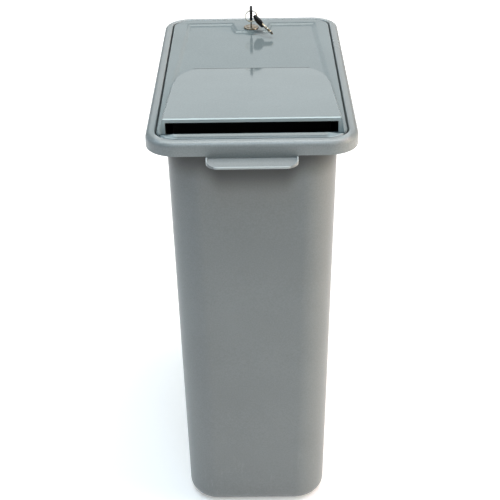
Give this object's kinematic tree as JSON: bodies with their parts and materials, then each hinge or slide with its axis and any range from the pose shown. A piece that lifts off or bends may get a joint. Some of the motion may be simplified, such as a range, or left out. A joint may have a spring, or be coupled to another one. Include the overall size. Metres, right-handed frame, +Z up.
{
  "type": "secure shredding console",
  "caption": "Slim tapered grey plastic container with a lid frame, a hooded front-slot lid that tips up, end handles, and a keyed cam lock at the back of the lid.",
  "frame": {"origin": "middle of the base, on the floor", "axes": "+Z up, -Y towards the slot end (front), +X to the right seen from the front"},
  "size_m": [0.2794, 0.554, 0.6652],
  "materials": {
    "container_plastic": "satin moulded grey plastic",
    "frame_plastic": "satin moulded grey plastic",
    "lid_plastic": "semi-gloss moulded grey plastic",
    "guard_plastic": "matt black sheet",
    "zinc_steel": "bright zinc plate",
    "lock_nickel": "warm nickel plate",
    "key_nickel": "nickel-plated brass",
    "key_black": "black moulded key head"
  },
  "bodies": {
    "bin": {"container": "container_plastic", "lid_frame": "frame_plastic", "frame_screws": "zinc_steel", "keeper": "zinc_steel", "keeper_rivets": "zinc_steel"},
    "lid": {"lid": "lid_plastic", "paper_guard": "guard_plastic", "guard_screws": "zinc_steel", "hinge_pin_left": "zinc_steel", "hinge_pin_right": "zinc_steel", "lock_body": "lock_nickel", "lock_washer": "zinc_steel", "lock_nut": "zinc_steel"},
    "plug": {"lock_plug": "lock_nickel", "lock_wafers": "zinc_steel", "lock_cam": "zinc_steel", "cam_washer": "zinc_steel", "cam_screw": "zinc_steel"},
    "key": {"key_blade": "key_nickel", "key_head": "key_black"},
    "ring": {"key_ring": "key_nickel"},
    "spare_key": {"spare_blade": "key_nickel", "spare_head": "key_black"}
  },
  "joints": [
    {"name": "lid_tilt", "type": "hinge", "parent": "bin", "child": "lid", "pos_m": [0, -0.2319, 0.6272], "axis": [1, 0, 0], "range_deg": [0, 85]},
    {"name": "lock_turn", "type": "hinge", "parent": "lid", "child": "plug", "pos_m": [0, 0.1985, 0.63], "axis": [0, 0, 1], "range_deg": [-90, 0]},
    {"name": "key_pull", "type": "slide", "parent": "plug", "child": "key", "axis": [0, 0, 1], "range_m": [0, 0.02]},
    {"name": "ring_swing", "type": "hinge", "parent": "key", "child": "ring", "pos_m": [0, 0.19747, 0.65847], "axis": [1, 0, 0], "range_deg": [-60, 0]},
    {"name": "spare_swing", "type": "hinge", "parent": "ring", "child": "spare_key", "pos_m": [0.00797, 0.1886, 0.6479], "axis": [-0.7865, -0.3908, -0.4782], "range_deg": [0, 20]}
  ]
}
